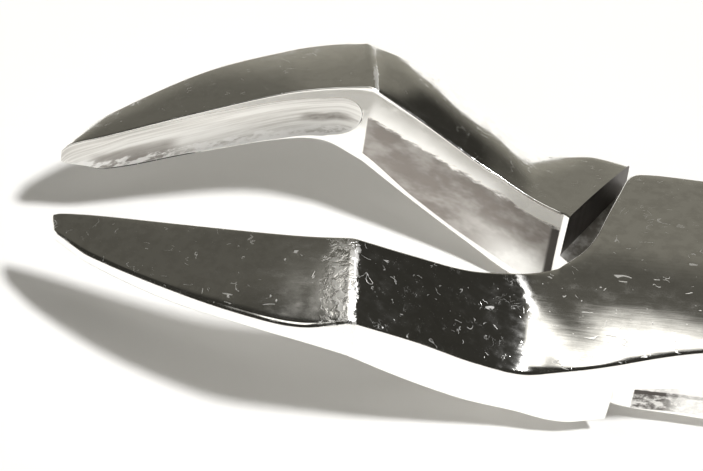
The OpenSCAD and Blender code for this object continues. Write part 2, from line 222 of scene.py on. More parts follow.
def half_points(q, u, v, lap):
    """Points of the sections q (rows) at u, v on the square round each section, in millimetres.
    Also gives the direction from the inner to the outer edge, in plan."""
    c = [q[:, k:k + 1] for k in range(q.shape[1])]
    f = (u + 1) / 2
    n = HANDLE_SQUARE
    rounder = np.maximum(np.abs(u) ** n + np.abs(v) ** n, 1e-9) ** (-1 / n)
    reach = mix(1, rounder, c[ROUND])
    flat = 1 - c[ROUND]
    lean = lean_share((c[IX] + c[OX]) / 2) * KNEE_LEAN[lap]
    inner_y = c[IY] + c[TWIST] * v * lap / 2 * (1 - f)
    wx, wy = c[OX] - lean - c[IX], c[OY] - inner_y
    width = np.hypot(wx, wy)
    bulge = SIDE_BULGE * (1 - v * v) * np.clip(u * 5 - 4, 0, 1) ** 2 * flat
    x = c[IX] + wx / 2 * (1 + u * reach) + wx / width * bulge
    y = inner_y + wy / 2 * (1 + u * reach) + wy / width * bulge
    fuller = FAR_NECK_CROWN * hump(c[IX], *CROWNED) * (lap < 0)
    higher = FAR_NECK_LEVEL * hump(c[IX], *LEVELLED) * (lap < 0)
    rise = (ARM_CROWN + fuller) * (1 - u * u) * flat * np.minimum(1, width / KNEE_W)
    crown = crown_z(x, y)
    top = mix(mix(c[TI], c[TO] + higher, f) + rise, SPLIT_Z + crown, c[CROWN])
    base = mix(mix(c[BI], c[BO], f) - rise, SPLIT_Z - crown, c[CROWN])
    z = (top + base) / 2 + (top - base) / 2 * v * reach
    return np.stack([x, y, z], -1), np.stack([wx / width, wy / width, 0 * width], -1)


# Rings of points along a half
BEAK_RINGS, TROUGH_RINGS, NECK_RINGS, JOINT_RINGS, HANDLE_RINGS, END_RINGS = 150, 24, 60, 150, 430, 15
JOINT_RIM = ROOT_REACH - 0.6
# Points along the faces of a ring, on the inner face in strips below, in and above the trough
CORNER_N, TOP_N, SIDE_N, BASE_N, STRIPS = 4, 18, 12, 12, (6, 34, 6)

# Along the inner face of a beak: its height, and how wide the land above the trough is
FACE_PLACES = (-56.3, -55.4, -52.8, -46.3, -39.8, -36.3, -33)
FACE_HEIGHTS = (1.7, 2.4, 4.08, 4.8, 5.4, 6.1, 8.6)
LAND_PLACES, LAND_WIDTHS = (-56.3, -50, -45.5, -40.6, -36.8, -33), (0.12, 0.22, 0.4, 0.78, 1.15, 1.25)
# Trough: length of its round end for each 1 of half-width, least opening, length of its start at the tip
END_SHARE, LEAST_OPENING, TROUGH_START = 0.95, 0.02, 5
OUTSIDE_TROUGH = 9

# Half-length of the evened stretch at the knee, its spread, and the steps taken
KNEE_STRETCH, WEAR_SPREAD, WEAR_STEPS = 4, 1.6, 9

# Hatching: steepness of the grooves' sides, softness of the panel's ends and sides, share of the way round
GROOVE_STEEP, PANEL_END, PANEL_SIDE, PANEL_SHARE = 3, 0.8, 0.5, 0.30


def ring_places(s):
    """Places of the rings on the beak, and on the rest of a half up to the handle's rounded end."""
    tip = -mix(TIP_REACH, KNEE_REACH, np.linspace(0, 1, BEAK_RINGS) ** 1.5)
    close = np.linspace(s.trough_end - 0.5, s.trough_end + 0.1, TROUGH_RINGS)
    body = [np.linspace(-KNEE_REACH, -JOINT_RIM, NECK_RINGS)[1:],
            np.linspace(-JOINT_RIM, JOINT_RIM, JOINT_RINGS)[1:],
            np.linspace(JOINT_RIM, HANDLE_REACH - END_L, HANDLE_RINGS)[1:]]
    return np.unique(np.concatenate([tip, close])), np.concatenate(body)


def rub_tip_round(q, places):
    """Rubs the tip round in plan and a little in height."""
    from_tip = (places + TIP_REACH) / TIP_ROUND
    q[:, OY] = mix(q[:, IY], q[:, OY], mix(TIP_END_W, 1, 1 - (1 - np.clip(from_tip, 0, 1)) ** 2))
    low = mix(TIP_END_H, 1, np.clip(from_tip * 2, 0, 1) ** 0.5)[:, None]
    middle = (q[:, [TI, BI]].sum(1) / 2)[:, None]
    q[:, HEIGHTS] = mix(middle, q[:, HEIGHTS], low)


def rounded_end(last):
    """Sections of the handle's rounded end, past its last plain section."""
    reach = END_L * np.sin(np.radians(END_TURN))
    mid_y, mid_z = (last[IY] + last[OY]) / 2, (last[TI] + last[BI]) / 2
    rows = []
    for a in np.radians(np.linspace(0, 88, END_RINGS)[1:]):
        r = last.copy()
        r[[IX, OX]] = last[IX] + reach * np.sin(a)
        r[[IY, OY]] = mix(mid_y, last[[IY, OY]], np.cos(a))
        r[HEIGHTS] = mix(mid_z, last[HEIGHTS], np.cos(a))
        rows.append(r)
    return np.array(rows)


def trough_course(places, s):
    """Height of the inner face, depth of the trough's middle line below its top edge, and half-width of the
    trough, in millimetres."""
    height = np.interp(places, FACE_PLACES, FACE_HEIGHTS)
    land = np.interp(places, LAND_PLACES, LAND_WIDTHS)
    half = np.minimum(s.trough_width / 2, (height - land) / 2)
    return height, land + half, half


def into_round_end(places, s, most):
    """How far a place is into the trough's round end: 0 before it, 1 at the trough's end."""
    start = s.trough_end - s.trough_width / 2 * END_SHARE
    return np.clip((places - start) / (s.trough_end - start), 0, most)


def ring_square(q, places, s):
    """u and v of the points round each section, and the columns where the inner face starts and where the
    trough starts and ends."""
    crisp = np.minimum(1, (places + TIP_REACH + 0.6) / 3)

    def corner(radius, length):
        return np.minimum(2 * radius * crisp / np.maximum(length, 0.01), 0.6)[:, None]

    def fill(a, b, n):
        return a + (b - a) * np.linspace(0, 1, n + 1)[None, 1:-1]

    du = corner((s.inner_edge + s.outer_edge) / 2, np.hypot(q[:, OX] - q[:, IX], q[:, OY] - q[:, IY]))
    din, dout = corner(s.inner_edge, q[:, TI] - q[:, BI]), corner(s.outer_edge, q[:, TO] - q[:, BO])
    rise = np.radians(np.linspace(0, 90, CORNER_N + 1))[None, :]
    fall = rise[:, ::-1]
    ones = np.ones((len(places), 1))
    # v of the trough's two rims, which past the knee run on as plain lines
    height, mid, half = trough_course(places, s)
    opening = np.sqrt(np.maximum(0, 1 - into_round_end(places, s, 1) ** 2)) * half
    opening = np.maximum(opening, LEAST_OPENING)
    past = smooth(-KNEE_REACH, -KNEE_REACH + 6, places)
    top_v = mix(1 - 2 * (mid - opening) / height, 0.6, past)[:, None]
    low_v = mix(1 - 2 * (mid + opening) / height, -0.6, past)[:, None]
    low_v = np.maximum(low_v, -1 + din + 0.01)
    top_v = np.minimum(top_v, 1 - din - 0.01)
    left, right = -(1 - du), 1 - du
    ring = [
        (left - du * np.cos(rise), (1 - din) + din * np.sin(rise)),
        (fill(left, right, TOP_N), fill(ones, ones, TOP_N)),
        (right + du * np.cos(fall), (1 - dout) + dout * np.sin(fall)),
        (fill(ones, ones, SIDE_N), fill(1 - dout, dout - 1, SIDE_N)),
        (right + du * np.cos(rise), (dout - 1) - dout * np.sin(rise)),
        (fill(right, left, BASE_N), fill(-ones, -ones, BASE_N)),
        (left - du * np.cos(fall), (din - 1) - din * np.sin(fall)),
        (fill(-ones, -ones, STRIPS[2]), fill(din - 1, low_v, STRIPS[2])),
        (-ones, low_v),
        (fill(-ones, -ones, STRIPS[1]), fill(low_v, top_v, STRIPS[1])),
        (-ones, top_v),
        (fill(-ones, -ones, STRIPS[0]), fill(top_v, 1 - din, STRIPS[0]))]
    u, v = (np.hstack([part[k] for part in ring]) for k in (0, 1))
    inner_col, low_col = (sum(part[0].shape[1] for part in ring[:n]) for n in (7, 8))
    return u, v, inner_col, (low_col, low_col + STRIPS[1])


def wear_knee(pts, places, wear):
    """Wears down the knee's ridge: the rings next to it are evened out along the tool."""
    near = np.abs(places + KNEE_REACH) < KNEE_STRETCH
    spread = np.exp(-((places[near] + KNEE_REACH) / (wear * WEAR_SPREAD)) ** 2) * wear
    steps = np.linspace(-1, 1, WEAR_STEPS)
    weights = 1 - steps ** 2 + 0.1
    weights /= weights.sum()
    columns = pts.reshape(len(places), -1).T
    soft = 0
    for step, weight in zip(steps, weights):
        at = places[near] + spread * step
        soft = soft + weight * np.stack([np.interp(at, places, column) for column in columns], -1)
    pts[near] = soft.reshape(-1, *pts.shape[1:])


def grind_trough(pts, out, u, v, places, s):
    """Grinds the trough along the inner face. Gives the points, and where each lies: how near to the
    trough's rim, at 1, and how far down from its middle line."""
    height, mid, half = (column[:, None] for column in trough_course(places, s))
    down = ((1 - v) / 2 * height - mid) / half
    from_middle = down ** 2 + into_round_end(places, s, 1.2)[:, None] ** 2
    start = np.clip((places + TIP_REACH) / TROUGH_START, 0, 1)[:, None]
    depth = s.trough_depth * np.maximum(0, 1 - from_middle) * start
    depth = np.where((u < -0.999) & (places[:, None] < -KNEE_REACH), depth, 0)
    return pts + out * depth[..., None], np.stack([np.sqrt(from_middle), down], -1)


def file_grip(pts, places, s):
    """Files the hatching into the grip, all but its inner side. Gives the points, and the way round each
    ring to each of them and all round."""
    arc = np.cumsum(np.linalg.norm(np.diff(pts, axis=1, prepend=pts[:, :1]), axis=2), axis=1)
    whole = arc[:, -1:] + np.linalg.norm(pts[:, :1] - pts[:, -1:], axis=2)
    normal = np.cross(np.gradient(pts, axis=0), np.gradient(pts, axis=1))
    normal /= np.maximum(np.linalg.norm(normal, axis=2, keepdims=True), 1e-9)
    normal *= np.sign(((pts - pts.mean(axis=1, keepdims=True)) * normal).sum(2, keepdims=True))
    middle = pts.shape[1] - sum(STRIPS) // 2
    off = (arc - arc[:, middle:middle + 1] + whole / 2) % whole - whole / 2
    off_groove = [np.abs((places[:, None] + off * way) / s.grip_pitch % 1 - 0.5) for way in (1, -1)]
    groove = np.clip(1 - GROOVE_STEEP * np.minimum(*off_groove), 0, 1)
    panel = hump(places, s.grip_start, s.grip_start + PANEL_END, s.grip_end - PANEL_END, s.grip_end)[:, None]
    edge = whole * PANEL_SHARE
    panel = panel * (1 - smooth(edge - PANEL_SIDE, edge, np.abs(off)))
    pts = pts - normal * (groove * panel * s.grip_depth)[..., None]
    return pts, np.hstack([arc, whole])


def grid_half(lap, s):
    """The skin of one half as rings of points, and what build_skin needs to know of them."""
    beak, body = ring_places(s)
    places = np.concatenate([beak, body])
    q = np.vstack([sections(BEAK_KNOTS, beak), sections(BODY_KNOTS, body)])
    rub_tip_round(q, places)
    end = rounded_end(q[-1])
    q, places = np.vstack([q, end]), np.concatenate([places, end[:, IX]])
    u, v, inner_col, trough_cols = ring_square(q, places, s)
    pts, out = half_points(q, u, v, lap)
    wear_knee(pts, places, s.near_knee_round if lap > 0 else s.far_knee_round)
    pts, in_trough = grind_trough(pts, out, u, v, places, s)
    pts, arc = file_grip(pts, places, s)
    pts[..., 1] *= lap
    return pts, places, arc, inner_col, trough_cols, in_trough


def placed(name, data):
    """A new object in the scene."""
    ob = bpy.data.objects.new(name, data)
    bpy.context.collection.objects.link(ob)
    return ob


def build_skin(name, lap, s):
    """A closed mesh of one half before its lap is cut. Its UV maps hold the way along the tool and round it
    from the inner face's top edge, below 0 down the inner face, and where each point lies in the trough."""
    pts, places, arc, inner_col, trough_cols, in_trough = grid_half(lap, s)
    rows, cols = pts.shape[:2]
    i, j = np.mgrid[:rows - 1, :cols]
    k = (j + 1) % cols
    row, col = np.stack([i, i, i + 1, i + 1], -1), np.stack([j, k, k, j], -1)
    faces = (row * cols + col).reshape(-1, 4).tolist()
    back = arc[row, -1] * (j >= inner_col)[..., None]
    way_round = arc[row, np.stack([j, j + 1, j + 1, j], -1)] - back
    measure = np.stack([places[row], way_round], -1).reshape(-1, 2)
    in_trough = in_trough[row, col].reshape(-1, 2)
    ground = (trough_cols[0] <= j) & (j < trough_cols[1]) & (places[i] < s.trough_end - 0.05)
    # the two ends are closed with fans of triangles
    n = rows * cols
    for a in range(cols):
        b = (a + 1) % cols
        faces += [(n, b, a), (n + 1, n - cols + a, n - cols + b)]
    fans = np.tile([[places[0], 0]] * 3 + [[places[-1], 0]] * 3, (cols, 1))
    measure = np.vstack([measure, fans])
    in_trough = np.vstack([in_trough, np.full(fans.shape, OUTSIDE_TROUGH)])
    kinds = np.append(ground, np.zeros(2 * cols)).astype(int)
    mesh = bpy.data.meshes.new(name)
    verts = np.vstack([pts.reshape(-1, 3), pts[0].mean(0), pts[-1].mean(0)]) * MM
    mesh.from_pydata(verts.tolist(), [], faces)
    mesh.uv_layers.new(name="measure").data.foreach_set("uv", (measure * MM).ravel())
    mesh.uv_layers.new(name="trough").data.foreach_set("uv", in_trough.ravel())
    mesh.polygons.foreach_set("material_index", kinds.tolist())
    mesh.update()
    turn_outwards(mesh)
    return placed(name, mesh)


def turn_outwards(mesh):
    """Turns the faces of a closed mesh to the outside."""
    bm = bmesh.new()
    bm.from_mesh(mesh)
    inside_out = bm.calc_volume(signed=True) < 0
    bm.free()
    if inside_out:
        mesh.flip_normals()


def prism(name, outline, low, high):
    """A solid with an outline in plan, drawn up from one height to another, in millimetres."""
    bm = bmesh.new()
    lower = [bm.verts.new((x * MM, y * MM, low * MM)) for x, y in outline]
    upper = [bm.verts.new((x * MM, y * MM, high * MM)) for x, y in outline]
    n = len(outline)
    bm.faces.new(lower[::-1])
    bm.faces.new(upper)
    for i in range(n):
        bm.faces.new((lower[i], lower[(i + 1) % n], upper[(i + 1) % n], upper[i]))
    return solid_from(name, bm)


def block(name, x, y, z):
    """A prism over a rectangle, from the lowest and highest x, y and z."""
    return prism(name, [(x[0], y[0]), (x[1], y[0]), (x[1], y[1]), (x[0], y[1])], *z)


LATHE_SIDES = 128


def lathe(name, profile):
    """A closed solid turned about the pivot axis from (radius, height) points, in millimetres."""
    bm = bmesh.new()
    turn = np.linspace(0, 2 * np.pi, LATHE_SIDES, endpoint=False)
    rings = []
    for r, z in profile:
        if r == 0:
            rings.append([bm.verts.new((0, 0, z * MM))])
        else:
            circle = zip(r * MM * np.cos(turn), r * MM * np.sin(turn))
            rings.append([bm.verts.new((x, y, z * MM)) for x, y in circle])
    for low, high in zip(rings, rings[1:]):
        for i in range(LATHE_SIDES):
            k = (i + 1) % LATHE_SIDES
            loop = [low[i % len(low)], low[k % len(low)], high[k % len(high)], high[i % len(high)]]
            bm.faces.new(list(dict.fromkeys(loop)))
    return solid_from(name, bm)


def solid_from(name, bm):
    """An object of a closed solid, with the same UV maps as the halves."""
    mesh = bpy.data.meshes.new(name)
    bmesh.ops.recalc_face_normals(bm, faces=bm.faces)
    bm.to_mesh(mesh)
    bm.free()
    for layer in ("measure", "trough"):
        mesh.uv_layers.new(name=layer)
    return placed(name, mesh)


def keep_modified(ob):
    """Gives the object the mesh that its modifiers make of it, and takes them off."""
    mesh = bpy.data.meshes.new_from_object(ob.evaluated_get(bpy.context.evaluated_depsgraph_get()))
    ob.modifiers.clear()
    old, ob.data = ob.data, mesh
    bpy.data.meshes.remove(old)


def cut(ob, cutters):
    """Takes the cutters out of a solid and deletes them."""
    for c in cutters:
        m = ob.modifiers.new("cut", "BOOLEAN")
        m.operation, m.object, m.solver = "DIFFERENCE", c, "MANIFOLD"
        m.material_mode = "TRANSFER"
    keep_modified(ob)
    for c in cutters:
        bpy.data.meshes.remove(c.data)


def smooth_faces(ob):
    """Shades the faces smooth and leaves the edges between the faces sharp."""
    ob.data.shade_smooth()
    ob.data.set_sharp_from_angle(angle=np.radians(30))


def lap_cutter(lap):
    """Room for the other half's lap, between the shoulder walls and above or below the split."""
    y = JOINT_W
    room = [(wall_x(-y), -y), (-wall_x(y), -y), (-wall_x(-y), y), (wall_x(y), y)]
    low = SPLIT_Z + LAP_GAP / 2 - JOINT_T if lap > 0 else SPLIT_Z - LAP_GAP / 2
    return prism("lap room", [(x, y * lap) for x, y in room], low, low + JOINT_T)


def ground_cutters():
    """What the belt takes off: the land round the screw's head, and the whole underside."""
    land, wide = LAP_REACH * 0.8, 2 * JOINT_W
    return [block("upper land", (-land, land), (-wide, wide), (JOINT_T, 2 * JOINT_T)),
            block("lower land", (-TIP_REACH - 1, HANDLE_REACH + 1), (-wide, wide), (-JOINT_T, 0))]


def screw_cutter(lap):
    """The bore of the upper lap with its pocket for the screw's head, or the hole of the lower lap."""
    if lap < 0:
        return lathe("screw hole", [(0, -1), (THREAD_D / 2, -1), (THREAD_D / 2, JOINT_T), (0, JOINT_T)])
    bore, pocket, mouth = SHANK_D / 2 + SHANK_CLEARANCE, HEAD_D / 2 + HEAD_CLEARANCE, HEAD_D / 2 + CHAMFER
    floor_z = JOINT_T - HEAD_T - HEAD_CLEARANCE
    return lathe("screw room", [
        (0, -1), (bore, -1), (bore, floor_z), (pocket, floor_z), (pocket, JOINT_T - mouth + pocket),
        (mouth + 1, JOINT_T + 1), (0, JOINT_T + 1)])


def build_half(name, node, lap, s, finish):
    """One forged half: its skin, cut where it meets the other half and the screw."""
    ob = build_skin(name, lap, s)
    for m in (plated_steel(finish, lap), trough_steel(finish)):
        ob.data.materials.append(m)
    rubbed, ground = rubbed_steel(finish), ground_steel(finish)
    cutters = [lap_cutter(lap), *ground_cutters(), screw_cutter(lap)]
    for c, m in zip(cutters, (rubbed, ground, ground, rubbed)):
        c.data.materials.append(m)
    cut(ob, cutters)
    smooth_faces(ob)
    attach(ob, "near" if lap > 0 else "far")
    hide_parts(node)


# Screw: height of its foot over the table, lead-in of the thread, play of the thread and broken edges
SCREW_FOOT, LEAD_IN, THREAD_PLAY, BROKEN_EDGE = 0.02, 0.25, 0.06, 0.06


def build_screw(finish):
    """The slotted screw, turned and then slotted, with its edges broken."""
    r, c, base = HEAD_D / 2, CHAMFER, SPLIT_Z - LAP_GAP / 2
    thread, under = THREAD_D / 2 - THREAD_PLAY, JOINT_T - HEAD_T
    profile = [(0, SCREW_FOOT), (THREAD_D / 2 - LEAD_IN, SCREW_FOOT), (thread, 0.2), (thread, base),
               (SHANK_D / 2, base), (SHANK_D / 2, under), (r - BROKEN_EDGE, under),
               (r, under + BROKEN_EDGE), (r, JOINT_T - c)]
    turn = np.radians(np.linspace(0, 90, 7))[1:]
    profile += [(r - c + c * np.cos(a), JOINT_T - c + c * np.sin(a)) for a in turn] + [(0, JOINT_T)]
    ob = lathe("pivot_screw_turned", profile)
    ob.data.materials.append(turned_steel(finish))
    slot = block("slot", (-HEAD_D, HEAD_D), (-SLOT_W / 2, SLOT_W / 2), (JOINT_T - SLOT_DEPTH, JOINT_T + 1))
    slot.data.materials.append(ground_steel(finish))
    cut(ob, [slot])
    bevel = ob.modifiers.new("broken edges", "BEVEL")
    bevel.width, bevel.segments, bevel.limit_method = BROKEN_EDGE * MM, 2, "ANGLE"
    bevel.angle_limit = np.radians(50)
    keep_modified(ob)
    smooth_faces(ob)
    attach(ob, "far")
    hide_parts("pivot_screw")


def linear(code):
    """Linear colour from an sRGB hex value such as C8C6C0."""
    c = np.array([int(code[i:i + 2], 16) for i in (0, 2, 4)]) / 255
    return np.where(c <= 0.04045, c / 12.92, ((c + 0.055) / 1.055) ** 2.4).tolist()


def add(t, kind, inputs=None, out=0, **settings):
    """Adds a node with its settings, and its inputs as values or links. Gives one output, or all of
    them where out is None."""
    node = t.nodes.new("ShaderNode" + kind)
    for name, value in settings.items():
        setattr(node, name, value)
    for key, value in (inputs or {}).items():
        if isinstance(value, bpy.types.NodeSocket):
            t.links.new(value, node.inputs[key])
        else:
            node.inputs[key].default_value = value
    return node.outputs if out is None else node.outputs[out]


def times(t, *values):
    """The values multiplied with one another."""
    total, *others = values
    for value in others:
        total = add(t, "Math", {0: total, 1: value}, operation="MULTIPLY")
    return total


def plus(t, *terms, most=None):
    """The terms added up, and cut off at most. A term is a value, or values to multiply."""
    total, *others = [times(t, *term) if isinstance(term, tuple) else term for term in terms]
    for term in others:
        total = add(t, "Math", {0: total, 1: term}, operation="ADD")
    return total if most is None else add(t, "Math", {0: total, 1: most}, operation="MINIMUM")


def level(t, value, *stops):
    """A level that follows the value through pairs of stops (value, level), and is 1 between two pairs."""
    turns = [add(t, "MapRange", {"Value": value, "From Min": a, "From Max": b, "To Min": low, "To Max": high},
                 interpolation_type="SMOOTHSTEP") for (a, low), (b, high) in zip(stops[::2], stops[1::2])]
    return times(t, *turns)


def rise(t, value, low, high):
    """0 where the value is low or less, and 1 from high."""
    return level(t, value, (low, 0), (high, 1))


def fall(t, value, low, high):
    """1 where the value is low or less, and 0 from high."""
    return level(t, value, (low, 1), (high, 0))


def between(t, value, low, high, soft):
    """1 where the value lies from low to high, with a soft edge outside them."""
    return level(t, value, (low - soft, 0), (low, 1), (high, 1), (high + soft, 0))


def minus(t, a, b):
    return add(t, "Math", {0: a, 1: b}, operation="SUBTRACT")


def wander(t, place, noise, reach):
    """A place moved to and fro by a noise, for a ragged edge."""
    return plus(t, place, (plus(t, noise, -0.5), reach))


def layered(t, ground, *coats):
    """A ground colour under coats of (share, colour), the last one on top."""
    colour = ground
    for share, coat in coats:
        low, high = (c if isinstance(c, bpy.types.NodeSocket) else (*c, 1) for c in (colour, coat))
        # a Mix node's colours are its inputs 6 and 7 and its output 2
        colour = add(t, "Mix", {0: share, 6: low, 7: high}, out=2, data_type="RGBA")
    return colour


def start_material(name):
    """A new material and its node tree, still empty."""
    m = bpy.data.materials.new(name)
    m.use_nodes = True
    m.node_tree.nodes.clear()
    return m, m.node_tree


def xyz(t, vector):
    return add(t, "SeparateXYZ", {0: vector}, out=None)


def object_mm(t):
    """Millimetres in the frame of the CAD."""
    return add(t, "VectorMath", {0: add(t, "TexCoord", out="Object"), "Scale": 1 / MM}, operation="SCALE")


def measured_mm(t):
    """Millimetres along the tool and round it."""
    return add(t, "VectorMath", {0: add(t, "UVMap", uv_map="measure"), "Scale": 1 / MM}, operation="SCALE")


def facing_up(t, low, high):
    """Share of the surface that faces up: 0 where its normal's z is low or less, and 1 from high."""
    return rise(t, xyz(t, add(t, "TexCoord", out="Normal"))["Z"], low, high)


def stretched(t, at, along, across, detail=3, turn=0, shift=0, distortion=0):
    """Noise drawn out along the tool: features are 1/along by 1/across millimetres."""
    place = add(t, "Mapping", {"Vector": at, "Location": (shift, shift * 1.7, shift * 0.6),
                               "Rotation": (0, 0, turn), "Scale": (along, across, across)})
    return add(t, "TexNoise", {"Vector": place, "Scale": 1, "Detail": detail, "Roughness": 0.6,
                               "Distortion": distortion})


def rings(t, at, per_mm, detail):
    """Noise in rings about the pivot."""
    flat = add(t, "VectorMath", {0: at, 1: (1, 1, 0)}, operation="MULTIPLY")
    radius = add(t, "VectorMath", {0: flat}, out="Value", operation="LENGTH")
    return add(t, "TexNoise", {"W": times(t, radius, per_mm), "Scale": 1, "Detail": detail},
               noise_dimensions="1D")


def hairs(t, at, along, across, width, rare, turn=0, shift=0, distortion=0):
    """Scratches: thin lines where a noise crosses its middle, kept where a coarser noise is above rare."""
    line = stretched(t, at, along, across, detail=0.6, turn=turn, shift=shift, distortion=distortion)
    off = add(t, "Math", {0: minus(t, line, 0.5)}, operation="ABSOLUTE")
    thin = fall(t, off, width * 0.35, width)
    patch = stretched(t, at, along * 0.9 + 0.25, across * 0.35 + 0.25, detail=2, turn=turn, shift=shift + 9.1)
    return times(t, thin, rise(t, patch, rare, rare + 0.03))


def finish_steel(m, colour, rough, height, bump_mm):
    """Ends a material as metal, with its relief bump_mm deep for each 1 of height."""
    t = m.node_tree
    bump = add(t, "Bump", {"Height": height, "Distance": bump_mm * MM, "Strength": 1.0})
    steel = {"Base Color": colour, "Metallic": 1, "Roughness": rough, "Normal": bump}
    add(t, "OutputMaterial", {"Surface": add(t, "BsdfPrincipled", steel)}, out=None)
    return m


def tray_marks(t, at, crowded):
    """Scratches, dashes and specks from the instrument tray, thick where crowded is 1."""
    curls = hairs(t, at, 0.65, 0.65, 0.017, 0.60, shift=2, distortion=1.4)
    dashes = hairs(t, at, 0.3, 1.3, 0.022, 0.61, turn=0.3, shift=6.3)
    scribble = hairs(t, at, 1.5, 1.3, 0.045, 0.44, shift=15, distortion=1.8)
    grain = add(t, "TexVoronoi", {"Vector": at, "Scale": 2.6}, out=None)
    kind = add(t, "SeparateColor", {0: grain["Color"]})
    specks = times(t, fall(t, grain["Distance"], 0.12, 0.26), rise(t, kind, 0.35, 0.5))
    strays = times(t, fall(t, grain["Distance"], 0.08, 0.2), rise(t, kind, 0.90, 0.93))
    cluster = rise(t, stretched(t, at, 0.45, 0.8, detail=2, shift=21), 0.54, 0.62)
    crowd = times(t, plus(t, specks, (scribble, 0.8)), cluster, crowded)
    return plus(t, curls, dashes, crowd, (strays, 0.8), most=1)


# Stretches along the tool, in millimetres from the pivot: of wear and tray marks, of the painted shade on the
# necks' inner faces and a flash strip kept out of it, and of grey streaks in the trough
FAR_LINE, NEAR_LINE, NECK_MARKS, KNEE_MARKS = (-32.7, -32.5), (-32.85, -32.62), (-31, -20), (-35, -32.7)
DULL_SHADED_NECK, NECK_FLASH, END_GREY, TIP_GREY = (-32.9, -15.4), (-20.1, -17.8), (-37.4, -35), (-53, -48.5)


def knee_wear(t, at, y, along, top, lap):
    """The ridge of the knee, rubbed through to a pale line, with a haze ahead of it on the near half."""
    place = wander(t, along, stretched(t, at, 1.6, 1.2, detail=4, shift=4), 0.7)
    if lap < 0:
        inner_end = level(t, y, (9.6, 1), (11.4, 0.1))
        return times(t, between(t, place, *FAR_LINE, 0.08), top, inner_end)
    patches = stretched(t, at, 1.3, 1.6, detail=4, shift=17, distortion=0.6)
    patches = level(t, patches, (0.38, 0.12), (0.58, 0.9))
    haze = times(t, level(t, place, (-35.4, 0), (-34, 1), (-32.7, 1), (-32.5, 0)), patches)
    line = times(t, between(t, place, *NEAR_LINE, 0.1), patches)
    return plus(t, (haze, 0.6), line, most=0.9)


# The crease where the near neck's top meets the joint's crown: its place along the tool at the pivot's
# line, and how far it moves towards the handles for each millimetre outwards
ROOT_RIDGE, ROOT_SLANT = -22.4, -0.555


def root_wear(t, x, y, top, ragged):
    """The crease at the root of the near neck, rubbed pale with a sharp edge ahead and a soft one behind."""
    place = wander(t, plus(t, x, (y, -ROOT_SLANT)), ragged, 1.2)
    band = level(t, place, (ROOT_RIDGE - 0.25, 0), (ROOT_RIDGE + 0.05, 1), (ROOT_RIDGE + 0.1, 1),
                 (ROOT_RIDGE + 1, 0))
    return times(t, band, rise(t, y, -7.6, -6.4), top, level(t, ragged, (0.3, 0.4), (0.5, 1)))


def dull_shaded_inside(t, at, along, depth):
    """Inner faces of the necks, polished only along their edges, rougher between them and painted darker
    there as the shade that they mirror, with a polished flash strip left out. Gives how dull and shaded they
    are, where the painted shade is lighter, low and towards the joint and in clouds, and where it is painted
    darker next to the joint."""
    ragged = stretched(t, at, 0.9, 2.6, detail=4, shift=31)
    cloud = stretched(t, at, 0.35, 0.5, detail=3, shift=33)
    upper_strip = level(t, along, (-32, 2.9), (-19.5, 1.35))
    below = plus(t, wander(t, depth, ragged, 1.3), (upper_strip, -1))
    lower_edge = plus(t, level(t, along, (-33, 8.35), (-24, 8.9)), (rise(t, along, -30, -19), -0.35))
    above = plus(t, lower_edge, (depth, -1))
    neck = between(t, along, *DULL_SHADED_NECK, 0.15)
    flash = times(t, between(t, depth, 1.38, 1.56, 0.08), between(t, along, *NECK_FLASH, 0.3))
    dull = times(t, rise(t, below, 0, 0.5), rise(t, above, 0, 0.2), neck,
                 minus(t, 1, flash), rise(t, depth, 0.05, 0.12))
    # the painted shade is lighter low on the face and towards the joint
    low_and_back = times(t, rise(t, depth, 4, 7.5), rise(t, along, -25, -18))
    pale = plus(t, low_and_back, (rise(t, cloud, 0.4, 0.7), 0.25), most=1)
    # the last value: painted darker still next to the joint
    return dull, pale, rise(t, along, -16.7, -16.3)


def shaded_rough_flank(t, at, x, y, z, lap):
    """Share of the lap's flank next to the split that is painted dark: shade in the lap's step, mottled like
    unpolished steel, with a painted shadow line of the split's gap across it.
    """
    mottle = stretched(t, at, 1.8, 2.4, detail=5, shift=41)
    off = times(t, plus(t, z, -SPLIT_Z), lap)
    place = times(t, rise(t, times(t, y, lap), 8.1, 8.3), between(t, off, 0.9, 3.9, 0.15),
                  rise(t, x, -9.9, -9.8))
    # a painted shadow line of the split's gap
    line = times(t, between(t, off, 1.85, 2.1, 0.15), level(t, x, (-8.6, 0.9), (-7.2, 0.3)))
    patch = times(t, level(t, x, (-7.8, 0.95), (-5.6, 0.25)), level(t, mottle, (0.34, 0.3), (0.62, 1)),
                  level(t, off, (1.6, 0.35), (1.9, 1)))
    return times(t, place, plus(t, line, patch, most=1))


# The far half (-1) has fewer tray marks and a calmer plating than the near half (1)
MARKS, MOTTLED, WAVY = {1: 1, -1: 0.5}, {1: 0.24, -1: 0.12}, {1: 1, -1: 0.35}


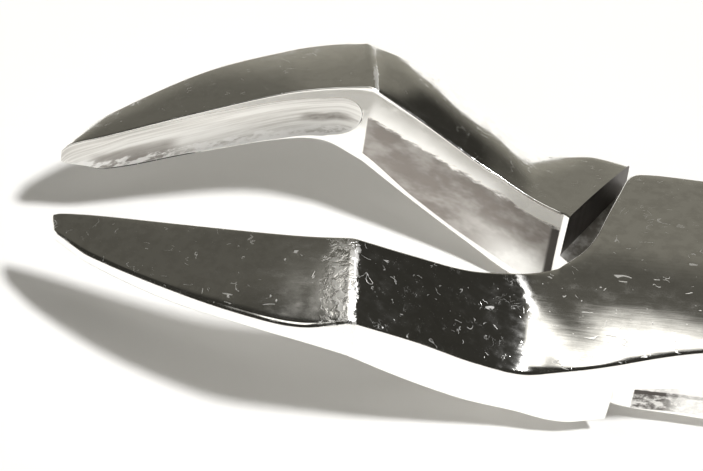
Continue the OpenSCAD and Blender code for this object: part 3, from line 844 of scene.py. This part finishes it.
def plated_steel(finish, lap):
    """Chromium-plated forged steel, polished along the tool and worn in use. The polishing lines are drawn
    some five times coarser than they are, or they wouldn't show."""
    m, t = start_material("polished plated steel, " + ("near" if lap > 0 else "far"))
    at = object_mm(t)
    x, y, z = xyz(t, at)
    along, off_edge, _ = xyz(t, measured_mm(t))
    top = facing_up(t, 0.45, 0.75)
    lines = stretched(t, at, 0.06, 3.4, detail=2)
    soft_lines = stretched(t, at, 0.05, 1.1, detail=2, shift=3)
    cloud = stretched(t, at, 0.7, 1, detail=5, shift=7)
    waves = stretched(t, at, 0.25, 0.4, detail=1, shift=11)
    ragged = stretched(t, at, 1.5, 1.1, detail=4, shift=51)
    mottle = stretched(t, at, 0.9, 1.1, detail=6, shift=61)
    crowded = root = 0.0
    if lap > 0:
        crowded = plus(t, (between(t, along, *NECK_MARKS, 1), 0.6), between(t, along, *KNEE_MARKS, 0.5))
        root = root_wear(t, x, y, top, ragged)
    marks = times(t, tray_marks(t, at, crowded), top, MARKS[lap])
    knee = knee_wear(t, at, y, along, top, lap)
    dull, pale, dark = dull_shaded_inside(t, at, along, times(t, off_edge, -1))
    flank = shaded_rough_flank(t, at, x, y, z, lap)
    rough = plus(t, 0.06, (lines, 0.06), (rise(t, cloud, 0.45, 0.75), 0.08), (marks, 0.3),
                 (knee, 0.34), (root, 0.42), (dull, 0.26), (flank, 0.4),
                 (rise(t, mottle, 0.4, 0.7), 0.05), most=0.62)
    stained = layered(t, finish.steel, (level(t, mottle, (0.42, 0), (0.62, MOTTLED[lap])), finish.lap))
    # Painted shade on the inner faces: the dull colour, lighter where pale, darkest next to the joint
    inside = layered(t, finish.inside, (pale, finish.steel), (dark, finish.recess_shade))
    rubbed = plus(t, (marks, 0.6), knee, root, most=1)
    # the dull inner faces and the lap's flank are laid over with painted shade
    colour = layered(t, finish.steel, (top, stained), (rubbed, finish.worn), (dull, inside),
                     (flank, finish.recess_shade))
    height = plus(t, (lines, 0.22 * WAVY[lap]), (soft_lines, 0.35 * WAVY[lap]), (waves, 1.6 * WAVY[lap]),
                  (marks, -0.25), (flank, cloud, 1.5), (knee, ragged, 4))
    return finish_steel(m, colour, rough, height, 0.012)


def trough_steel(finish):
    """Steel ground with a wheel along the trough: satin, with pale and grey streaks along it, a painted
    highlight along its lips and a painted line of shade along its upper rim and round end. The wheel's lines
    are drawn some three times coarser than they are, or they wouldn't show."""
    m, t = start_material("satin ground steel")
    at = measured_mm(t)
    edge, across, _ = xyz(t, add(t, "UVMap", uv_map="trough"))
    along = xyz(t, at)["X"]
    lines = stretched(t, at, 0.12, 6, detail=3)
    streaks = stretched(t, at, 0.09, 2.6, detail=5, shift=3)
    fleck = stretched(t, at, 0.9, 2.4, detail=4, shift=6)
    # painted highlights along the trough's lips, in the colour of rubbed steel
    low_lip = times(t, rise(t, plus(t, across, (fleck, 0.7)), 1, 1.12), rise(t, fleck, 0.42, 0.55))
    lip_highlight = plus(t, rise(t, edge, 0.9, 0.96), low_lip, most=1)
    # painted shade: a dark line along the upper rim and round end
    rim = times(t, rise(t, edge, 0.955, 0.985), fall(t, across, 0.2, 0.5))
    end_grey = times(t, between(t, along, *END_GREY, 1.2), between(t, across, 0.24, 0.34, 0.2),
                     level(t, fleck, (0.35, 0.4), (0.6, 0.9)))
    tip_grey = times(t, between(t, along, *TIP_GREY, 1.5), rise(t, across, 0.1, 0.5), 0.7)
    grey = plus(t, end_grey, tip_grey, most=1)
    flecked = times(t, grey, level(t, fleck, (0.3, 1), (0.6, 0.4)))
    pale = times(t, level(t, streaks, (0.36, 0.45), (0.60, 1)), minus(t, 1, flecked))
    rough = plus(t, 0.34, (lines, 0.2), (fleck, 0.14))
    colour = layered(t, finish.lap, (pale, finish.steel), (times(t, grey, 0.8), finish.inside),
                     (lip_highlight, finish.worn), (rim, finish.recess_shade))
    height = plus(t, (lines, 0.6), (streaks, 0.4), (fleck, 0.3))
    return finish_steel(m, colour, rough, height, 0.016)


def rubbed_steel(finish):
    """Machined steel inside the joint: the laps rubbed to a grey satin with arcs about the pivot, and the
    shoulder walls, with all faces that don't face up, painted dark as shade."""
    m, t = start_material("machined and rubbed steel")
    at = object_mm(t)
    arcs = rings(t, at, 5, 3)
    cloud = stretched(t, at, 0.8, 0.8, detail=5)
    rough = plus(t, 0.26, (arcs, 0.16), (cloud, 0.2))
    lap = layered(t, finish.lap, (rise(t, cloud, 0.4, 0.65), finish.steel))
    # painted shade: faces that don't face up take the dark shade colour
    colour = layered(t, finish.recess_shade, (facing_up(t, 0.3, 0.7), lap))
    return finish_steel(m, colour, rough, plus(t, arcs, (cloud, 0.8)), 0.006)


def ground_steel(finish):
    """Steel ground flat on a belt: straight lines in a bright face, drawn twice as coarse as they are."""
    m, t = start_material("flat ground steel")
    at = object_mm(t)
    lines = stretched(t, at, 0.10, 8, detail=3)
    cloud = stretched(t, at, 0.4, 0.5, detail=4, shift=5)
    scratches = hairs(t, at, 0.5, 0.9, 0.02, 0.6, turn=0.5, distortion=0.8)
    rough = plus(t, 0.16, (lines, 0.14), (cloud, 0.12), (scratches, 0.25))
    colour = layered(t, finish.steel, (scratches, finish.worn))
    return finish_steel(m, colour, rough, plus(t, (lines, 0.5), (scratches, -0.4)), 0.006)


def turned_steel(finish):
    """Steel turned on a lathe: fine rings about the axis."""
    m, t = start_material("turned steel")
    at = object_mm(t)
    grooves = rings(t, at, 7, 4)
    cloud = stretched(t, at, 0.7, 0.7, detail=4)
    rough = plus(t, 0.16, (grooves, 0.2), (cloud, 0.1))
    colour = layered(t, finish.screw, (rise(t, cloud, 0.4, 0.7), finish.steel))
    return finish_steel(m, colour, rough, grooves, 0.008)


def length(name, description, default_mm):
    """A size that a user can change."""
    return bpy.props.FloatProperty(name=name, description=description, default=default_mm * MM, precision=5,
                                   unit="LENGTH", subtype="DISTANCE")


def colour(name, description, code):
    """A colour that a user can change, from its sRGB hex value."""
    return bpy.props.FloatVectorProperty(name=name, description=description, default=linear(code), size=3,
                                         min=0, max=1, subtype="COLOR")


class ForcepsShape(bpy.types.PropertyGroup):
    """Sizes of the edges, the trough, the knees and the grip"""
    inner_edge: length("Inner edge radius", "Rounding of the long edges beside the gap", 0.12)
    outer_edge: length("Outer edge radius", "Rounding of the outer long edges", 0.3)
    trough_width: length("Trough width", "Width of the trough ground into each beak", 4.4)
    trough_depth: length("Trough depth", "Depth of the trough at its deepest", 0.7)
    trough_end: length("Trough end", "Place of the trough's round end along the tool", -33.4)
    near_knee_round: length("Near knee wear", "Rounding of the near half's knee", 0.5)
    far_knee_round: length("Far knee wear", "Rounding of the far half's knee", 0.35)
    grip_pitch: length("Hatch pitch", "Distance between the filed grooves of the grip", 2.2)
    grip_depth: length("Hatch depth", "Depth of the filed grooves", 0.28)
    grip_start: length("Hatch start", "Distance from the pivot to the start of the hatched grip", 48)
    grip_end: length("Hatch end", "Distance from the pivot to the end of the hatched grip", 110)


class ForcepsFinish(bpy.types.PropertyGroup):
    """Colours of the steels and the table"""
    steel: colour("Plated steel", "Colour of the polished plated steel", "F5F4F1")
    # Also laid on the trough's lips as a painted highlight
    worn: colour("Worn steel", "Colour where the plating is scratched or rubbed", "FAF9F7")
    # Painted shade: this darker colour of the necks' inner faces stands for the shadow that they mirror; it
    # also greys streaks in the trough
    inside: colour("Dull steel", "Colour of the inner faces of the necks", "8D8782")
    # Painted shade: laid on the shoulder walls, the lap's flank with its gap line, the trough's rim and the
    # necks' inner faces next to the joint
    recess_shade: colour("Recess steel", "Colour of the unpolished shoulder walls", "5A5653")
    lap: colour("Lap steel", "Colour of the faces inside the joint", "B4B0AA")
    screw: colour("Screw steel", "Colour of the turned screw", "C9C6C1")
    table: colour("Table", "Colour of the table", "FAF9F7")


def in_mm(shape):
    """The sizes of the shape, in millimetres."""
    return SimpleNamespace(**{name: getattr(shape, name) / MM for name in ForcepsShape.__annotations__})


class OBJECT_OT_forceps_halves(bpy.types.Operator):
    """Builds the two forged halves"""
    bl_idname = "object.forceps_halves"
    bl_label = "Forceps halves"

    def execute(self, context):
        shape, finish = in_mm(context.scene.forceps_shape), context.scene.forceps_finish
        build_half("near_half_forged", "near_half", 1, shape, finish)
        build_half("far_half_forged", "far_half", -1, shape, finish)
        return {"FINISHED"}


class OBJECT_OT_forceps_screw(bpy.types.Operator):
    """Builds the slotted screw that the halves turn on"""
    bl_idname = "object.forceps_screw"
    bl_label = "Pivot screw"

    def execute(self, context):
        build_screw(context.scene.forceps_finish)
        return {"FINISHED"}


class OBJECT_OT_forceps_studio(bpy.types.Operator):
    """Builds the table, the lights and the camera"""
    bl_idname = "object.forceps_studio"
    bl_label = "Photo table"

    def execute(self, context):
        build_table(context.scene.forceps_finish)
        build_light()
        build_world()
        build_camera()
        return {"FINISHED"}


class VIEW3D_PT_forceps(bpy.types.Panel):
    """Sizes, colours and building steps of the forceps"""
    bl_idname = "VIEW3D_PT_forceps"
    bl_label = "Dental forceps"
    bl_space_type = "VIEW_3D"
    bl_region_type = "UI"
    bl_category = "Forceps"

    def draw(self, context):
        for group in (context.scene.forceps_shape, context.scene.forceps_finish):
            for name in type(group).__annotations__:
                self.layout.prop(group, name)
        for step in STEPS:
            self.layout.operator(step.bl_idname)


# The camera, fitted to the outline in the photo: turn about the vertical, angle above the table, roll,
# distance and the point that it looks at
CAMERA_TURN, CAMERA_HEIGHT, CAMERA_ROLL = np.radians(-1.485), np.radians(49), np.radians(8.964)
CAMERA_DISTANCE, CAMERA_AIM = 295.98, np.array([-33, 1.041, 6.25])
PIXELS_PER_MM, IMAGE_WIDTH, SENSOR_WIDTH = 12.8, 703, 36


def build_camera():
    psi, e, rho = CAMERA_TURN, CAMERA_HEIGHT, CAMERA_ROLL
    right = np.array([np.cos(psi), np.sin(psi), 0])
    ground = np.array([-np.sin(psi), np.cos(psi), 0])
    look = ground * np.cos(e) - np.array([0, 0, np.sin(e)])
    up = ground * np.sin(e) + np.array([0, 0, np.cos(e)])
    r = right * np.cos(rho) + up * np.sin(rho)
    u = up * np.cos(rho) - right * np.sin(rho)
    place = (CAMERA_AIM - look * CAMERA_DISTANCE) * MM
    cam = bpy.data.cameras.new("camera")
    cam.sensor_width = SENSOR_WIDTH
    cam.lens = SENSOR_WIDTH * PIXELS_PER_MM * CAMERA_DISTANCE / IMAGE_WIDTH
    cam.clip_start, cam.clip_end = 0.01, 20
    ob = placed("camera", cam)
    ob.matrix_world = Matrix(np.vstack([np.stack([r, u, -look, place], 1), [0, 0, 0, 1]]).tolist())
    bpy.context.scene.camera = ob


# The table's own glow where the camera sees it and where the steel mirrors it, and how far it lies under
# the forceps, so that no two faces meet
TABLE_LIFT, MIRROR_LIFT, TABLE_DROP = 0.04, 0.22, 0.02
TABLE_GLOW, LAMP_COLOUR, ROOM_COLOUR = "FFFDF8", "FFFDF7", "FFFAE8"
# The key light: where it comes from, its strength and its width in degrees
KEY_FROM, KEY_STRENGTH, KEY_WIDTH = (0.42, -0.22, 1), 2.85, 7
# Strengths of the lamps and of the room round the table
SOFTBOX, WINDOW = 1.9, 1.8
ROOM_DARK, ROOM_LEFT, ROOM_MIDDLE, ROOM_HIGH, ROOM_LOW = 0.03, 0.065, 0.055, 0.11, 0.10


def build_table(finish):
    bm = bmesh.new()
    bmesh.ops.create_grid(bm, x_segments=1, y_segments=1, size=3)
    mesh = bpy.data.meshes.new("table")
    bm.to_mesh(mesh)
    bm.free()
    m, t = start_material("white table")
    rays = add(t, "LightPath", out=None)
    mirrored = plus(t, rays["Is Glossy Ray"], rays["Is Transmission Ray"], most=1)
    seen = plus(t, rays["Is Camera Ray"], (mirrored, MIRROR_LIFT / TABLE_LIFT))
    flat = add(t, "BsdfDiffuse", {"Color": (*finish.table, 1)})
    lift = add(t, "Emission", {"Color": (*linear(TABLE_GLOW), 1), "Strength": times(t, seen, TABLE_LIFT)})
    add(t, "OutputMaterial", {"Surface": add(t, "AddShader", {0: flat, 1: lift})}, out=None)
    mesh.materials.append(m)
    ob = placed("table", mesh)
    ob.location = (0, 0, -TABLE_DROP * MM)


def build_light():
    sun = bpy.data.lights.new("key", "SUN")
    sun.energy, sun.angle = KEY_STRENGTH, np.radians(KEY_WIDTH)
    ob = placed("key", sun)
    ob.rotation_euler = Vector(KEY_FROM).to_track_quat("Z", "Y").to_euler()


def build_world():
    """A dim studio round the table: a softbox overhead, a small window high at the front left, a dull wall
    behind, and dark sides in front and right. x, y and z are directions, to the right, back and up."""
    w = bpy.data.worlds.new("studio")
    bpy.context.scene.world = w
    w.use_nodes = True
    t = w.node_tree
    t.nodes.clear()
    x, y, z = xyz(t, add(t, "TexCoord", out="Generated"))
    box = times(t, level(t, x, (-0.41, 0), (-0.21, 1), (0.20, 1), (0.40, 0)),
                level(t, y, (-0.22, 0), (-0.10, 1), (0, 1), (0.26, 0)), rise(t, z, 0, 0.1), SOFTBOX)
    window = times(t, fall(t, y, -0.54, -0.44), rise(t, z, 0.46, 0.58),
                   between(t, x, -0.56, -0.36, 0.06), WINDOW)
    left = add(t, "Math", {0: fall(t, x, 0.34, 0.56), 1: rise(t, y, 0.84, 0.91)},
               operation="MAXIMUM")
    wall = times(t, rise(t, y, -0.14, 0.12), left, level(t, x, (-0.3, ROOM_LEFT), (-0.1, ROOM_MIDDLE)))
    high = times(t, rise(t, y, 0.42, 0.64), fall(t, x, 0.42, 0.58),
                 level(t, x, (-0.38, 0.25), (-0.22, 1)), ROOM_HIGH)
    low = times(t, rise(t, y, 0.5, 0.9), fall(t, z, 0.05, 0.30), ROOM_LOW)
    strengths = plus(t, wall, high, low, ROOM_DARK), plus(t, box, window)
    room, lamp = (add(t, "Background", {"Color": (*linear(code), 1), "Strength": strength})
                  for code, strength in zip((ROOM_COLOUR, LAMP_COLOUR), strengths))
    add(t, "OutputWorld", {"Surface": add(t, "AddShader", {0: room, 1: lamp})}, out=None)


STEPS = (OBJECT_OT_forceps_halves, OBJECT_OT_forceps_screw, OBJECT_OT_forceps_studio)
CLASSES = (ForcepsShape, ForcepsFinish, *STEPS, VIEW3D_PT_forceps)


def register():
    for c in CLASSES:
        bpy.utils.register_class(c)
    bpy.types.Scene.forceps_shape = bpy.props.PointerProperty(type=ForcepsShape)
    bpy.types.Scene.forceps_finish = bpy.props.PointerProperty(type=ForcepsFinish)


def unregister():
    del bpy.types.Scene.forceps_shape, bpy.types.Scene.forceps_finish
    for c in reversed(CLASSES):
        bpy.utils.unregister_class(c)


def main():
    register()
    bpy.context.scene.view_settings.view_transform = "Standard"
    bpy.ops.object.forceps_halves()
    bpy.ops.object.forceps_screw()
    bpy.ops.object.forceps_studio()


if __name__ == "__main__":
    main()
